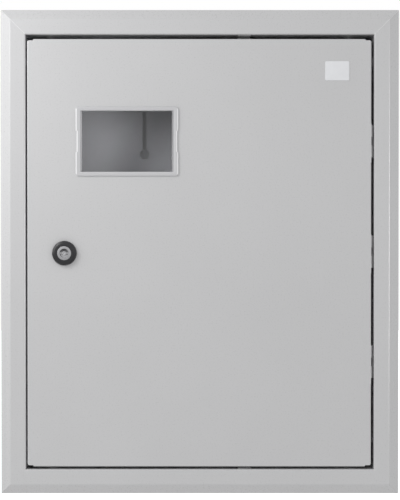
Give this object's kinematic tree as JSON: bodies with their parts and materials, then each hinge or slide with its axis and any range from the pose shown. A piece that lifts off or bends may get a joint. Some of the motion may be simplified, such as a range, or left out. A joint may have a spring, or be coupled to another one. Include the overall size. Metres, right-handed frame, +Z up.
{
  "type": "electric meter box",
  "caption": "Flush-mounted sheet steel electric meter cabinet with a mitred wall frame, inset hinged door, small clear window and quarter-turn lock.",
  "frame": {"origin": "centre of the rectangle of four wall fixing holes, on the outside of the back wall", "axes": "+X to the right seen from the front, +Y back into the wall, +Z up"},
  "size_m": [0.44, 0.155, 0.535],
  "materials": {
    "powder_coat": "light grey powder coat, fine even texture, satin",
    "galvanised_steel": "galvanised sheet, faint spangle",
    "plate_zinc": "zinc-coated sheet, dull",
    "screw_zinc": "bright zinc plate",
    "hinge_steel": "plain drawn steel",
    "black_lock": "black, satin",
    "lock_metal": "die-cast, nickel plated",
    "clear_plastic": "clear moulded plastic",
    "brass_bar": "plain brass",
    "blue_moulding": "blue moulded plastic",
    "green_moulding": "green moulded plastic"
  },
  "bodies": {
    "cabinet": {"back_box": "galvanised_steel", "frame_top": "powder_coat", "frame_bottom": "powder_coat", "frame_left": "powder_coat", "frame_right": "powder_coat", "frame_screws": "screw_zinc", "door_stop_top": "powder_coat", "door_stop_bottom": "powder_coat", "lock_keeper": "powder_coat", "meter_plate": "plate_zinc", "plate_standoffs": "screw_zinc", "plate_screws": "screw_zinc", "din_rail": "screw_zinc", "rail_bracket_right": "plate_zinc", "rail_bracket_left": "plate_zinc", "rail_screws": "screw_zinc", "neutral_bar": "brass_bar", "earth_bar": "brass_bar", "neutral_carrier": "blue_moulding", "earth_carrier": "green_moulding", "neutral_clamp_screws": "screw_zinc", "earth_clamp_screws": "screw_zinc", "carrier_screws": "screw_zinc", "box_earth_stud": "screw_zinc", "box_earth_washer": "screw_zinc", "box_earth_nut": "screw_zinc", "hinge_frame_leaf_top": "powder_coat", "hinge_pin_top": "hinge_steel", "hinge_frame_leaf_middle": "powder_coat", "hinge_pin_middle": "hinge_steel", "hinge_frame_leaf_bottom": "powder_coat", "hinge_pin_bottom": "hinge_steel"},
    "door": {"door_panel": "powder_coat", "hinge_door_leaf_top": "hinge_steel", "hinge_door_leaf_middle": "hinge_steel", "hinge_door_leaf_bottom": "hinge_steel", "window_pane": "clear_plastic", "lock_housing": "black_lock", "lock_nut": "screw_zinc", "door_earth_stud": "screw_zinc", "door_earth_washer": "screw_zinc", "door_earth_nut": "screw_zinc"},
    "lock": {"lock_insert": "lock_metal", "lock_cam": "screw_zinc", "lock_cam_screw": "screw_zinc"}
  },
  "joints": [
    {"name": "door_hinge", "type": "hinge", "parent": "cabinet", "child": "door", "pos_m": [0.187, -0.1462, 0], "axis": [0, 0, 1], "range_deg": [0, 95]},
    {"name": "lock_turn", "type": "hinge", "parent": "door", "child": "lock", "pos_m": [-0.14865, -0.1329, -0.001], "axis": [0, 1, 0], "range_deg": [0, 90]}
  ]
}
